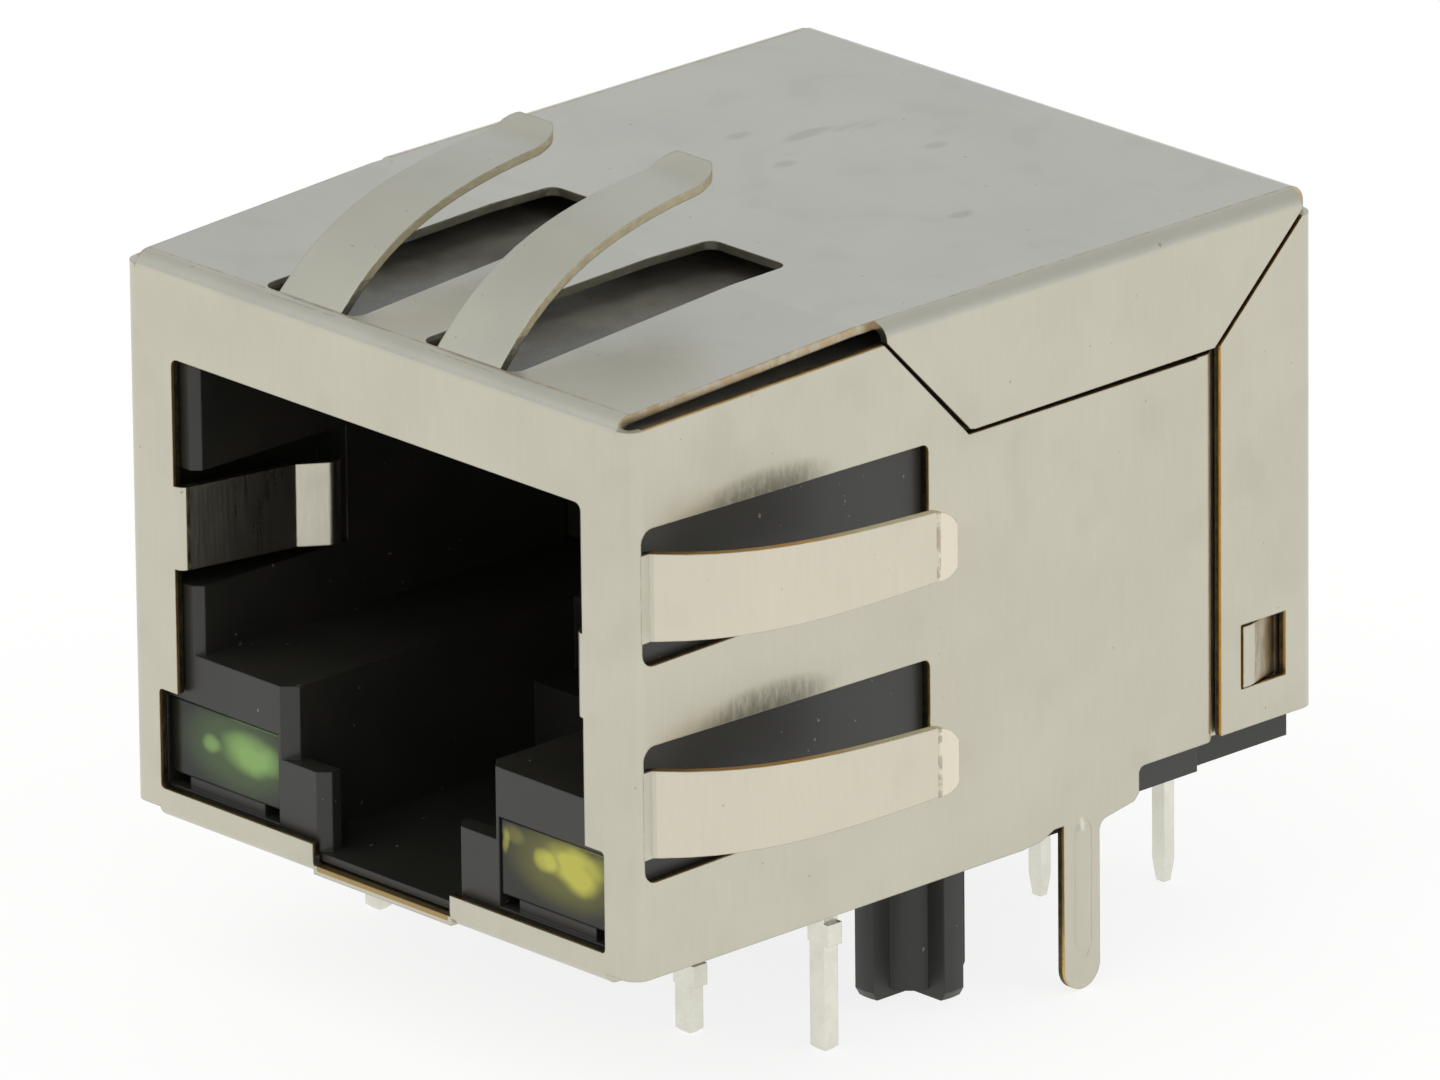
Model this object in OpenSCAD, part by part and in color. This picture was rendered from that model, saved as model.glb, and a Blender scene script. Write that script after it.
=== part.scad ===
// RJ45 board jack: shielded modular socket with built-in magnetics and two lamps.
// Origin: board plane, midway between the two board pegs. +Z up from the board,
// -Y out of the plug opening, +X to the right of somebody looking into the opening.

/* [Shield] */
// outside width across the two side walls
shell_w = 16.0; // [15.8:0.1:16.2]
// outside length, front panel to back panel
shell_l = 20.3; // [20.2:0.1:20.6]
// distance from the front panel back to the board pegs
peg_setback = 10.2; // [10.1:0.1:10.4]
// height of the roof over the board at the front bend
front_h = 12.95; // [12.9:0.05:13.0]
// height of the roof over the board at the back
rear_h = 13.3; // [13.2:0.05:13.4]
// sheet thickness
sheet_t = 0.2; // [0.18:0.01:0.22]
// outside radius of the folds
fold_r = 0.41; // [0.36:0.01:0.45]
// width of the gaps left between cut edges of the folded sheet
cut_gap = 0.1; // [0.08:0.01:0.12]

/* [Plug opening] */
// half width of the opening in the front panel
win_half = 6.47; // [6.4:0.01:6.5]
// height of the opening's top edge over the board
win_top = 10.8; // [10.7:0.05:10.9]
// half width of the lamp windows' outer edges
lamp_half = 7.06; // [7.0:0.01:7.1]
// height of the lamp windows' top edge
lamp_top = 3.1; // [3.05:0.05:3.15]
// height of the bottom strips' upper edge
strip_top = 0.8; // [0.75:0.05:0.85]
// half width of the latch notch between the bottom strips
notch_half = 2.18; // [2.1:0.02:2.3]
// half width of the plug cavity in the plastic
cavity_half = 6.0; // [5.96:0.01:6.02]

/* [Spring fingers] */
// width of a finger at its root
finger_root = 2.0; // [1.9:0.05:2.2]
// width of a finger at its tip
finger_tip = 1.55; // [1.4:0.05:1.7]
// rise of the roof fingers over the roof
roof_rise = 2.8; // [2.4:0.1:3.0]
// how much lower the left roof finger is bent than the right one
roof_uneven = 0.35; // [0:0.05:0.4]
// rise of the side fingers over the side walls
side_rise = 2.05; // [1.8:0.05:2.2]
// distance from the middle to each roof finger
roof_finger_x = 2.5; // [2.4:0.05:2.6]
// height of the lower side finger's middle
finger_z1 = 4.06; // [4.0:0.02:4.2]
// height of the upper side finger's middle
finger_z2 = 8.94; // [8.9:0.02:9.1]

/* [Board side] */
// half the distance between the two board pegs
peg_x = 5.715; // [5.7:0.005:5.73]
// radius over the ribs of a board peg
peg_r = 1.4; // [1.35:0.05:1.45]
// length of the pegs below the board plane
peg_l = 3.0; // [2.8:0.1:3.1]
// length of the pins and tabs below the board plane
tail_l = 3.35; // [3.2:0.05:3.5]
// sideways pitch of the signal pins
pin_pitch = 1.27; // [1.27:0.01:1.27]
// distance from the pegs back to the first pin row
pin_row1 = 6.35; // [6.3:0.05:6.4]
// distance from the pegs back to the second pin row
pin_row2 = 8.89; // [8.85:0.02:8.93]
// width of a signal pin, side to side
pin_w = 0.38; // [0.34:0.01:0.42]
// thickness of a signal pin, front to back
pin_t = 0.3; // [0.26:0.01:0.36]
// pitch of the plug contacts
contact_pitch = 1.02; // [1.0:0.01:1.02]
// side of a square contact wire
wire_s = 0.34; // [0.3:0.02:0.36]

/* [Hidden] */
$fn = 32;
big = 40;
half_w = shell_w / 2;
front_y = -peg_setback;
back_y = front_y + shell_l;
flat_half = half_w - fold_r;
wing_y = front_y + 7.5;
joggle_y = front_y + 17.0;
back_wing_y = front_y + 17.4;
wall_top = front_h - 0.25;
wall_foot = 0.35;
rear_foot = 1.4;
skin = 0.05;
body_half = half_w - sheet_t - skin;
body_front = front_y + sheet_t + skin;
body_top = 12.55;
steel_c = [0.75, 0.74, 0.70];
black_c = [0.13, 0.13, 0.13];
gold_c = [0.83, 0.68, 0.35];
tin_c = [0.78, 0.78, 0.75];

// ---------- helpers ----------
module span(x0, x1, y0, y1, z0, z1) {
  translate([x0, y0, z0]) cube([x1 - x0, y1 - y0, z1 - z0]);
}

module both_sides() {
  children();
  mirror([1, 0, 0]) children();
}

// a YZ outline (from the front edge, over the board) as a plate from x0 to x1
module yz_plate(pts, x0, x1) {
  translate([x0, front_y, 0])
    rotate([90, 0, 90])
      linear_extrude(x1 - x0) polygon(pts);
}

// an XZ outline as a plate from y0 to y1
module xz_plate(pts, y0, y1) {
  translate([0, y1, 0])
    rotate([90, 0, 0])
      linear_extrude(y1 - y0) polygon(pts);
}

// points of an arc of radius r that rounds the corner b between a and c
function corner(a, b, c, r, n) =
  let (u = (a - b) / norm(a - b), v = (c - b) / norm(c - b), ang = acos(u * v))
  let (o = b + (u + v) / norm(u + v) * r / sin(ang / 2), turn = 180 - ang)
  let (p = b + u * r / tan(ang / 2) - o, q = b + v * r / tan(ang / 2) - o)
  [for (k = [0:n]) o + (sin((1 - k / n) * turn) * p + sin(k / n * turn) * q) / sin(turn)];

// an open line with its corners rounded
function bent(pts, r, n = 6) = concat([pts[0]],
  [for (i = [1:len(pts) - 2]) each corner(pts[i - 1], pts[i], pts[i + 1], r, n)],
  [pts[len(pts) - 1]]);

// a closed outline with its corners rounded
function rounded(pts, r, n = 4) =
  [for (i = [0:len(pts) - 1])
    each corner(pts[(i + len(pts) - 1) % len(pts)], pts[i], pts[(i + 1) % len(pts)], r, n)];

function normals(p) = [for (i = [0:len(p) - 1])
  let (d = p[min(i + 1, len(p) - 1)] - p[max(i - 1, 0)]) [-d[1], d[0]] / norm(d)];

// a strip of thickness t that follows a line
function ribbon(p, t) = let (n = normals(p)) concat(
  [for (i = [0:len(p) - 1]) p[i] + n[i] * t / 2],
  [for (i = [len(p) - 1:-1:0]) p[i] - n[i] * t / 2]);

// ---------- shield: one folded sheet ----------
// front panel, both front corners and both side walls, folded from one strip
module wrap_solid(inset, y1, z0, z1) {
  r = fold_r - inset;
  h = half_w - inset;
  y0 = front_y + inset;
  span(-h, h, y0 + r, y1, z0, z1);
  span(-h + r, h - r, y0, y1, z0, z1);
  both_sides() translate([h - r, y0 + r, z0]) cylinder(r = r, h = z1 - z0);
}

wing_front = [7.5, 9.93];
wing_foot = 10.38;
mitre_y = 17.22;
mitre_slope = 0.95;
slot_half_front = 1.5;
slot_half_back = 1.2;
slot_back = 8.68;
tab_y = 13.17;
tab_half = 0.53;
tab_l = 3.31;
rear_step = 14.9;

// side wall outline, seen from the right, without the tail tab
side_outline = concat([[-1, wall_foot], [11.4, wall_foot], [12.0, 0.42], [12.35, 0.58], [13.2, 0.58],
  [13.2, 0]],
  corner([13.7, 0], [13.7, 0.42], [rear_step, 0.6], 0.25, 5), [[rear_step - 0.15, 0.6], [rear_step, 0.75]],
  corner([rear_step, 0.8], [rear_step, rear_foot - 0.05], [big, rear_foot - 0.05], 0.16, 4),
  [[big, rear_foot - 0.05], [big, wing_foot - cut_gap], [wing_front[1] - 0.05, wing_foot - cut_gap - 0.04],
  [wing_front[0] - 0.1, wall_top + 0.17], [0.2, wall_top], [-1, wall_top]]);

// opening that a finger is cut from: half width w0 and round corners in front, w1 behind
module finger_slot(y0, w0, w1, back_r) {
  r = 0.3;
  p = [[y0, -w0], [slot_back, -w1], [slot_back, w1], [y0, w0]];
  rotate([0, 0, 90]) linear_extrude(2)
    polygon(concat(corner(p[3], p[0], p[1], r, 5), corner(p[0], p[1], p[2], back_r, 4),
      corner(p[1], p[2], p[3], back_r, 4), corner(p[2], p[3], p[0], r, 5)));
}

// places things drawn along +Y, rising in +Z, on the right side wall at height z
module on_side(z) {
  translate([half_w, front_y, z]) rotate([0, 90, 0]) mirror([1, 0, 0]) children();
}

// a spring finger that leaves the sheet at y0, curves out to y1 and flicks up at its tip;
// flick lists the tip's points from y1
module finger(y0, rise, run, y1, flick) {
  steps = 14;
  tip_r = 0.45;
  mid = -sheet_t / 2;
  curve = [for (k = [0:steps]) let (s = y0 + 0.12 + (y1 - y0 - 0.12) * k / steps)
    [s, mid + rise * (1 - exp(-(s - y0) / run))]];
  tip = [for (f = flick) curve[steps] + f];
  line = concat([[y0 - 0.3, mid], [y0 - 0.02, mid]], curve, tip);
  ends = line[len(line) - 1][0] - 0.02;
  intersection() {
    rotate([90, 0, 90]) translate([0, 0, -2]) linear_extrude(4) polygon(ribbon(line, sheet_t));
    translate([0, 0, -1])
      linear_extrude(5)
        polygon(concat([[-finger_root / 2, 0]],
          corner([-finger_root / 2, 0], [-finger_tip / 2, ends], [0, ends], tip_r, 5),
          corner([0, ends], [finger_tip / 2, ends], [finger_root / 2, 0], tip_r, 5),
          [[finger_root / 2, 0]]));
  }
}

module tongue() {
  // contact tongue folded in from the edge of the plug opening
  bottom = 5.98;
  width = 1.9;
  mid = front_y + sheet_t / 2;
  line = bent([[win_half + 0.4, mid], [win_half - 0.15, mid], [win_half - 0.72, mid + 2.75],
    [win_half - 1.2, mid + 3.42], [win_half - 1.12, mid + 3.62]], 0.16, 5);
  translate([0, 0, bottom]) linear_extrude(width) polygon(ribbon(line, sheet_t));
}

// stiffening rib, a round bar that fades into the sheet at both ends
module tab_rib(r, sink, z0, z1) {
  fade = 0.5;
  translate([0, 0, z0]) cylinder(r1 = sink, r2 = r, h = fade);
  translate([0, 0, z0 + fade - 0.001]) cylinder(r = r, h = z1 - z0 - 2 * fade + 0.002);
  translate([0, 0, z1 - fade]) cylinder(r1 = r, r2 = sink, h = fade);
}

module ground_tab() {
  z_end = tab_half - tab_l;
  rib_r = 0.3;
  rib_y = front_y + tab_y + 0.04;
  rib_x = half_w - 0.18;
  difference() {
    union() {
      span(half_w - sheet_t, half_w, front_y + tab_y - tab_half, front_y + tab_y + tab_half, z_end, 0.7);
      translate([half_w - sheet_t, front_y + tab_y, z_end]) rotate([0, 90, 0])
        cylinder(r = tab_half, h = sheet_t);
      intersection() {
        translate([rib_x, rib_y, z_end]) tab_rib(rib_r, 0.15, 0, 3.6);
        span(half_w - sheet_t, half_w + 1, rib_y - 1, rib_y + 1, z_end, 2);
      }
    }
    translate([rib_x, rib_y, z_end + 0.6]) cylinder(r = rib_r - 0.16, h = 2.4);
  }
}

// lanced latch tab of the side wall, which the back wing snaps over
catch_y = 18.0;
catch_l = 1.36;
catch_z = 2.32;
catch_h = 1.48;
inner_wall_x = half_w - sheet_t - skin;

module rear_side() {
  // side wall joggled in by one sheet, under the back wing
  mid = half_w - sheet_t / 2;
  in_mid = inner_wall_x - sheet_t / 2;
  y_end = back_y - sheet_t - skin;
  line = concat([[mid, joggle_y - 0.3]],
    bent([[mid, joggle_y - 0.28], [mid, joggle_y], [in_mid, joggle_y + 0.3], [in_mid, y_end - 0.1]],
      0.15, 3), [[in_mid, y_end]]);
  difference() {
    translate([0, 0, rear_foot - 0.05]) linear_extrude(wing_foot - cut_gap - rear_foot + 0.05)
      polygon(ribbon(line, sheet_t));
    span(inner_wall_x - 0.4, half_w + 1, front_y + catch_y - 0.1, front_y + catch_y + catch_l - 0.1,
      catch_z - 0.02, catch_z + catch_h + 0.02);
  }
  lance = bent([[in_mid, front_y + catch_y + catch_l + 0.2], [in_mid, front_y + catch_y + 1.22],
    [half_w - 0.06, front_y + catch_y + 0.24], [half_w - 0.06, front_y + catch_y + 0.04]], 0.12, 3);
  translate([0, 0, catch_z + 0.04]) linear_extrude(catch_h - 0.08) polygon(ribbon(lance, sheet_t));
}

module roof_and_back() {
  // roof strip, its front fold into the front panel and its back fold into the back panel
  t2 = sheet_t / 2;
  line = bent([[t2, wall_top - 0.2], [t2, front_h - t2], [6.9, rear_h - t2], [shell_l - t2, rear_h - t2],
    [shell_l - t2, rear_foot]], fold_r - t2, 8);
  difference() {
    yz_plate(ribbon(line, sheet_t), -flat_half, flat_half);
    for (x = [-roof_finger_x, roof_finger_x])
      translate([x, front_y, front_h - 1]) finger_slot(0.45, slot_half_front, slot_half_back, 0.28);
  }
  for (side = [-1, 1])
    translate([side * roof_finger_x, front_y, front_h])
      finger(0.55, roof_rise - (side < 0 ? roof_uneven : 0), 2.3, 6.45, [[0.36, 0.13], [0.7, 0.34]]);
}

module quarter(r, h) {
  // quarter of a round fold, standing on the XY plane in the +X +Y quadrant
  rotate_extrude(angle = 90) translate([r - sheet_t, 0]) square([sheet_t, h]);
}

module wings() {
  // roof wing: fold along the roof's edge, then the side plate with its slanted front and mitre
  z0 = rear_h - fold_r;
  roof_back = back_y - fold_r;
  translate([flat_half, roof_back, z0]) rotate([90, 0, 0]) quarter(fold_r, roof_back - wing_y);
  yz_plate([[wing_front[0], z0], [wing_front[1], wing_foot - 0.02], [wing_front[1] + 0.15, wing_foot - 0.05],
    [mitre_y, wing_foot], [mitre_y + (z0 - wing_foot) / mitre_slope, z0]], half_w - sheet_t, half_w);
}

module back_wings() {
  side_end = shell_l - fold_r;
  top = wing_foot;
  slope_top = top + mitre_slope * (side_end - (back_wing_y - front_y));
  difference() {
    union() {
      yz_plate([[back_wing_y - front_y, rear_foot], [side_end, rear_foot], [side_end, slope_top],
        [back_wing_y - front_y, top]], half_w - sheet_t, half_w);
      translate([flat_half, back_y - fold_r, rear_foot]) quarter(fold_r, slope_top - rear_foot);
    }
    span(half_w - 1, half_w + 1, front_y + catch_y, front_y + catch_y + catch_l, catch_z, catch_z + catch_h);
  }
}

module bottom_flap() {
  // short flap folded back under the plastic from the front panel's bottom strips
  foot = 0.1;
  r = 0.3;
  flap_l = 2.8;
  reach = 7.1;
  t2 = sheet_t / 2;
  strip = ribbon(bent([[t2, strip_top - 0.2], [t2, foot + t2], [flap_l, foot + t2]], r - t2, 5), sheet_t);
  both_sides() yz_plate(strip, notch_half, reach);
  span(-notch_half - 0.01, notch_half + 0.01, front_y + 0.03, front_y + flap_l, foot, foot + sheet_t);
}

module front_openings() {
  y0 = front_y - 1;
  y1 = front_y + sheet_t + 0.15;
  xz_plate(rounded([[-win_half, lamp_top - 0.5], [win_half, lamp_top - 0.5], [win_half, win_top],
    [-win_half, win_top]], 0.18), y0, y1);
  xz_plate(rounded([[-lamp_half, strip_top], [lamp_half, strip_top], [lamp_half, lamp_top],
    [-lamp_half, lamp_top]], 0.1), y0, y1);
  span(-notch_half, notch_half, y0, y1, -1, strip_top + 0.2);
}

module shield() {
  low = 0.1;
  reach = 7.1;
  color(steel_c) {
    difference() {
      wrap_solid(0, joggle_y, low, wall_top + 0.2);
      wrap_solid(sheet_t, big, -1, 14);
      // trims both side walls to their outline
      difference() {
        span(-big, big, front_y + fold_r, big, -2, 15);
        yz_plate(side_outline, -big, big);
      }
      // corner reliefs at the roof and at the board side
      both_sides() {
        span(flat_half, big, front_y - 1, front_y + fold_r, wall_top, 15);
        span(reach, big, front_y - 1, front_y + fold_r + 0.01, -1, wall_foot);
      }
      span(-flat_half, flat_half, front_y - 1, front_y + 1, wall_top - 0.2, 15);
      span(-reach, reach, front_y - 1, front_y + 1, -1, low + 0.35);
      front_openings();
      both_sides()
        for (z = [finger_z1, finger_z2])
          on_side(z) translate([0, 0, -1])
            finger_slot(0.32, slot_half_front + 0.05, slot_half_back + 0.2, 0.18);
    }
    roof_and_back();
    bottom_flap();
    both_sides() {
      for (z = [finger_z1, finger_z2])
        on_side(z) finger(0.6, side_rise, 1.8, 7.02, [[0.44, 0.24]]);
      tongue();
      ground_tab();
      rear_side();
      wings();
      back_wings();
    }
  }
}

// ---------- plastic ----------
cavity_floor = 4.02;
cavity_roof = 10.74;
cavity_flare = 0.18;
latch_step = 2.35;
latch_half = 3.12;
latch_flare = 0.3;
channel_half = 2.06;
channel_flare = 0.24;
latch_wall = 0.75;
floor_z = 0.53;
lamp_x = 5.28;
lamp_w = 3.5;
lamp_z0 = 1.15;
lamp_z1 = 2.85;
lamp_l = 4.1;
lead_w = 0.45;
lead_t = 0.4;
lead_z = 2.0;
// where each lamp lead goes through the board: across, back from the front panel
green_short = [-6.4, 5.7];
green_long = [-3.8, 6.95];
yellow_short = [3.8, 5.45];
yellow_long = [6.6, 6.8];
bay_half = 6.95;
bay_y = 12.2;
bay_top = 11.65;
rail_half = 5.2;
rail_y = 3.6;
body_end = shell_l - sheet_t - skin;

module rel(x0, x1, y0, y1, z0, z1) {
  // a block whose depth is measured back from the front panel
  span(x0, x1, front_y + y0, front_y + y1, z0, z1);
}

// a slot into the front of the plastic, with a lead-in of 45 degrees on both sides
module flared_slot(half, flare, y1, z0, z1) {
  y0 = sheet_t + skin;
  past = 1;
  out = half + flare + past;
  translate([0, front_y, z0]) linear_extrude(z1 - z0)
    polygon([[-out, y0 - past], [out, y0 - past], [half, y0 + flare], [half, y1], [-half, y1],
      [-half, y0 + flare]]);
}

module board_peg() {
  rib_t = 0.56;
  core_r = 0.88;
  tip = 0.2;
  intersection() {
    union() {
      span(-peg_r, peg_r, -rib_t / 2, rib_t / 2, -peg_l, wall_foot + 0.2);
      span(-rib_t / 2, rib_t / 2, -peg_r, peg_r, -peg_l, wall_foot + 0.2);
      translate([0, 0, -peg_l + 0.15]) cylinder(r = core_r, h = peg_l + wall_foot);
    }
    union() {
      translate([0, 0, -peg_l + tip]) cylinder(r = peg_r, h = peg_l + 1);
      translate([0, 0, -peg_l]) cylinder(r1 = peg_r - 0.12, r2 = peg_r, h = tip);
    }
  }
}

module lead_slot(at) {
  rel(at[0] - 0.35, at[0] + 0.35, lamp_l + 0.2, at[1] + 0.4, -1, lead_z + 0.4);
}

module housing() {
  chamfer = 0.15;
  pad_l = 1.0;
  wide_end = 16.9;
  color(black_c) {
    difference() {
      union() {
        translate([0, front_y, wall_foot]) linear_extrude(body_top - wall_foot)
          polygon([[-body_half, sheet_t + skin + chamfer], [-body_half + chamfer, sheet_t + skin],
            [body_half - chamfer, sheet_t + skin], [body_half, sheet_t + skin + chamfer],
            [body_half, wide_end], [-body_half, wide_end]]);
        rel(-body_half + 0.25, body_half - 0.25, 16, body_end - 0.18, wall_foot, body_top);
      }
      // plug cavity and the stepped channel for the plug's latch
      flared_slot(cavity_half, cavity_flare, bay_y + 1, cavity_floor, cavity_roof);
      flared_slot(latch_half, latch_flare, 8.6, latch_step, cavity_floor + 0.01);
      flared_slot(channel_half, channel_flare, 1, floor_z, latch_step + 0.01);
      // room behind the front wall where the latch's shoulders catch
      rel(-latch_half, latch_half, latch_wall, 7.4, floor_z, latch_step + 1);
      // recess for the contact rail in the cavity's ceiling
      rel(-rail_half - skin, rail_half + skin, rail_y - skin, bay_y + 1, cavity_roof - 1, bay_top);
      // bay for the magnetics, open to the back and to the board
      rel(-bay_half, bay_half, bay_y, big, -1, bay_top);
      // the side walls step up where they pass the back of the sheet
      rel(-big, big, 13.9, big, -1, 0.65);
      both_sides() {
        // lamp pocket
        rel(lamp_x - lamp_w / 2 - 0.03, 7.1, 0, lamp_l + 0.45, 0.85, lamp_z1 + 0.05);
        // clearance for the sheet's contact tongue
        rel(cavity_half - 1, 6.95, 0, 4.6, 5.6, 8.25);
      }
      for (at = [green_short, green_long, yellow_short, yellow_long]) lead_slot(at);
    }
    both_sides() {
      translate([peg_x, 0, 0]) board_peg();
      // ledge that carries the lamp
      rel(4.05, 6.45, 0.32, lamp_l, 0.8, lamp_z0 - 0.02);
      // foot that stands on the board
      rel(4.7, 5.7, 3.1, 3.1 + pad_l, 0, wall_foot + 0.1);
    }
  }
}

contact_y = 13.75;
contact_z = 10.97;
module contact_carrier() {
  grow = 0.01;
  wall_y = 11.05;
  groove = wire_s + 2 * grow;
  color([0.16, 0.16, 0.17])
    difference() {
      union() {
        // rail with the wires' grooves, wall behind the plug, flange in the magnetics bay
        rel(-rail_half, rail_half, rail_y, bay_y, cavity_roof + skin, bay_top - skin);
        rel(-cavity_half + skin, cavity_half - skin, wall_y, bay_y + 0.1, cavity_floor + skin,
          cavity_roof - skin);
        rel(-rail_half, rail_half, wall_y, bay_y + 0.1, cavity_roof - 1, bay_top - skin);
        rel(-bay_half + skin, bay_half - skin, bay_y + skin, 13.4, 2.3, bay_top - skin);
        // comb that keeps the wire tips apart
        for (i = [0:8])
          rel((i - 4) * contact_pitch - 0.24, (i - 4) * contact_pitch + 0.24, 10.1, wall_y + 0.1, 7.9,
            cavity_roof + skin + 0.1);
      }
      for (i = [0:7])
        rel((i - 3.5) * contact_pitch - groove / 2, (i - 3.5) * contact_pitch + groove / 2, 3, 14,
          cavity_roof - 0.2, contact_z + groove / 2);
    }
}

module contact(n) {
  // wire: through the inner board, up the carrier, along the rail, round the nose, back down
  line = bent([[contact_y, board_z0 - 0.4], [contact_y, contact_z], [4.0, contact_z], [3.85, 9.95],
    [10.25, 8.4], [10.7, 8.45]], 0.36, 6);
  x = (n - 4.5) * contact_pitch;
  color(gold_c) yz_plate(ribbon(line, wire_s), x - wire_s / 2, x + wire_s / 2);
}

// ---------- lamps ----------
module lamp(side, short, long, c) {
  color(c)
    difference() {
      union() {
        rel(side * lamp_x - lamp_w / 2, side * lamp_x + lamp_w / 2, 0.3, 3.2, lamp_z0, lamp_z1);
        rel(side * lamp_x - lamp_w / 2 + 0.1, side * lamp_x + lamp_w / 2 - 0.1, 3.1, lamp_l,
          lamp_z0 + 0.1, lamp_z1 - 0.1);
      }
      for (at = [short, long])
        rel(at[0] - lead_w / 2 - 0.01, at[0] + lead_w / 2 + 0.01, 2.0, lamp_l + 1,
          lead_z - lead_t / 2 - 0.01, lead_z + lead_t / 2 + 0.01);
    }
}

module lamp_lead(at) {
  // lead bent down to the board, with the stub left by its cut tie bar
  tie = 7.67;
  stub_z = at[1] - tie;
  line = bent([[2.02, lead_z], [at[1], lead_z], [at[1], -tail_l]], 0.45, 6);
  color(tin_c)
    difference() {
      union() {
        yz_plate(ribbon(line, lead_t), at[0] - lead_w / 2, at[0] + lead_w / 2);
        rel(at[0] - lead_w / 2 - 0.06, at[0] + lead_w / 2 + 0.14, at[1] - lead_t / 2, at[1] + lead_t / 2,
          stub_z, stub_z + 0.5);
      }
      // bevels of the cropped end
      for (s = [-1, 1])
        translate([at[0] + s * lead_w / 2, front_y + at[1], -tail_l]) rotate([0, 45, 0])
          cube([0.14, 1, 0.14], center = true);
      for (s = [-1, 1])
        translate([at[0], front_y + at[1] + s * lead_t / 2, -tail_l]) rotate([45, 0, 0])
          cube([1, 0.14, 0.14], center = true);
    }
}

// ---------- magnetics ----------
board_z0 = 2.9;
board_z1 = 3.7;
board_y0 = 13.45;
board_y1 = 19.6;
pin_head = 4.1;
function pin_at(n) = [(n - 4.5) * pin_pitch, n % 2 == 0 ? pin_row2 : pin_row1];

module inner_board() {
  $fn = 16;
  color([0.16, 0.36, 0.22])
    difference() {
      rel(-6.8, 6.8, board_y0, board_y1, board_z0, board_z1);
      for (n = [1:8]) {
        translate([pin_at(n)[0], pin_at(n)[1], 0]) cylinder(r = 0.29, h = 9);
        translate([(n - 4.5) * contact_pitch, front_y + contact_y, 0]) cylinder(r = 0.27, h = 9);
      }
    }
}

module terminal_base() {
  gap = 0.02;
  color([0.14, 0.14, 0.15]) {
    difference() {
      rel(-6.85, 6.85, 14.2, body_end - 0.4, 0.72, 2.3);
      for (n = [1:8])
        translate([pin_at(n)[0], pin_at(n)[1], 0]) cube([pin_w + gap, pin_t + gap, 9], center = true);
    }
    both_sides() {
      // post that carries the inner board, and foot that stands on the board
      rel(5.9, 6.7, 14.4, 15.2, 2.2, board_z0);
      rel(5.9, 6.7, 18.6, 19.4, 2.2, board_z0);
      rel(4.85, 5.65, 18.2, 19.2, 0, 0.82);
    }
  }
}

module pin_outline(w) {
  // straight pin of width w with a tapered tip
  tip = 0.5;
  end = w * 0.32;
  polygon([[-end, -tail_l], [end, -tail_l], [w / 2, tip - tail_l], [w / 2, pin_head],
    [-w / 2, pin_head], [-w / 2, tip - tail_l]]);
}

module signal_pin(n) {
  color(tin_c)
    translate([pin_at(n)[0], pin_at(n)[1], 0])
      intersection() {
        translate([0, 1, 0]) rotate([90, 0, 0]) linear_extrude(2) pin_outline(pin_w);
        translate([-1, 0, 0]) rotate([90, 0, 90]) linear_extrude(2) pin_outline(pin_t);
      }
}

core_r = 1.45;
core_hole = 0.75;
core_w = 1.3;
wrap_t = 0.14;
function core_at(n) = [(n - 2.5) * 3.35, front_y + 15.15, board_z1 + core_r + wrap_t + 0.05];

module core(n) {
  $fn = 24;
  color([0.22, 0.21, 0.2])
    translate(core_at(n)) rotate([90, 0, 0])
      rotate_extrude() translate([core_hole, -core_w / 2]) square([core_r - core_hole, core_w]);
}

module winding(n) {
  $fn = 24;
  turn = 300;
  g = 0.02;
  color([0.6, 0.25, 0.1])
    translate(core_at(n)) rotate([90, 0, 0]) rotate([0, 0, -60])
      rotate_extrude(angle = turn)
        difference() {
          translate([core_hole - wrap_t, -core_w / 2 - wrap_t])
            square([core_r - core_hole + 2 * wrap_t, core_w + 2 * wrap_t]);
          translate([core_hole - g, -core_w / 2 - g]) square([core_r - core_hole + 2 * g, core_w + 2 * g]);
        }
}

module resistor(n) {
  x = [-5.6, -3.6, 3.6, 5.6][n - 1];
  color([0.1, 0.1, 0.1]) rel(x - 0.4, x + 0.4, 17.1, 18.5, board_z1, board_z1 + 0.4);
}

module capacitor() {
  color([0.65, 0.5, 0.35]) rel(-2.2, 2.2, 17.1, 18.4, board_z1, board_z1 + 1.3);
}

shield();
housing();
contact_carrier();
contact(1);  // contact_1
contact(2);  // contact_2
contact(3);  // contact_3
contact(4);  // contact_4
contact(5);  // contact_5
contact(6);  // contact_6
contact(7);  // contact_7
contact(8);  // contact_8
lamp(-1, green_short, green_long, [0.35, 0.75, 0.3]);  // lamp_green
lamp(1, yellow_short, yellow_long, [0.85, 0.75, 0.2]);  // lamp_yellow
lamp_lead(green_long);  // lamp_green_lead_long
lamp_lead(green_short);  // lamp_green_lead_short
lamp_lead(yellow_long);  // lamp_yellow_lead_long
lamp_lead(yellow_short);  // lamp_yellow_lead_short
inner_board();
terminal_base();
signal_pin(1);  // signal_pin_1
signal_pin(2);  // signal_pin_2
signal_pin(3);  // signal_pin_3
signal_pin(4);  // signal_pin_4
signal_pin(5);  // signal_pin_5
signal_pin(6);  // signal_pin_6
signal_pin(7);  // signal_pin_7
signal_pin(8);  // signal_pin_8
core(1);  // core_1
core(2);  // core_2
core(3);  // core_3
core(4);  // core_4
winding(1);  // winding_1
winding(2);  // winding_2
winding(3);  // winding_3
winding(4);  // winding_4
resistor(1);  // resistor_1
resistor(2);  // resistor_2
resistor(3);  // resistor_3
resistor(4);  // resistor_4
capacitor();
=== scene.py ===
"""Shielded modular jack for a board edge: finishes, floor, lamps and camera."""

import math

import bmesh
import bpy
from mathutils import Matrix, Vector


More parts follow.
